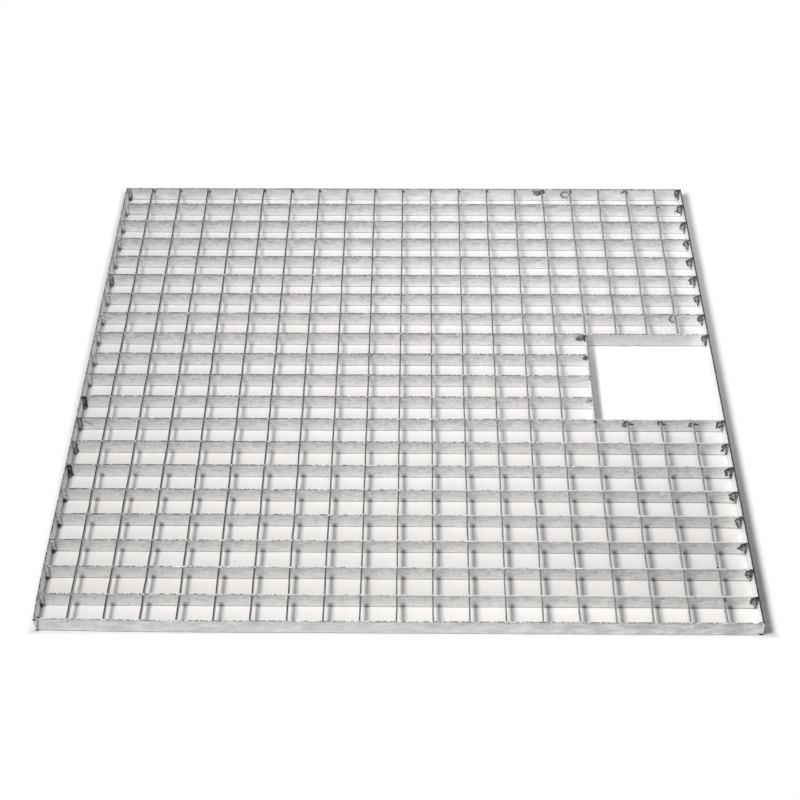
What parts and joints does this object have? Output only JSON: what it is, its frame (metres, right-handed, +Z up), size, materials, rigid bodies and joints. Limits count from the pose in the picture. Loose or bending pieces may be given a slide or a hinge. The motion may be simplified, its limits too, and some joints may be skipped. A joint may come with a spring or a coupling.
{
  "type": "steel grating panel",
  "caption": "Square galvanised press-locked steel grating panel with a bound cut-out at one edge.",
  "frame": {"origin": "centre of the panel's underside", "axes": "+X along the bearing bars towards the side with the cut-out, +Y along the cross bars towards the back, +Z up"},
  "size_m": [0.997, 0.995, 0.025],
  "materials": {
    "bar_steel": "matt hot-dip galvanised flat bar with ragged top edges",
    "band_steel": "matt hot-dip galvanised flat bar",
    "weld_metal": "rough zinc-covered weld metal, dark gray"
  },
  "bodies": {
    "root": {"front_mesh": "bar_steel", "middle_mesh": "bar_steel", "back_mesh": "bar_steel", "front_band": "band_steel", "back_band": "band_steel", "left_band": "band_steel", "right_band": "band_steel", "cutout_band": "band_steel", "front_welds": "weld_metal", "back_welds": "weld_metal", "left_welds": "weld_metal", "right_welds": "weld_metal", "cutout_welds": "weld_metal"}
  },
  "joints": []
}
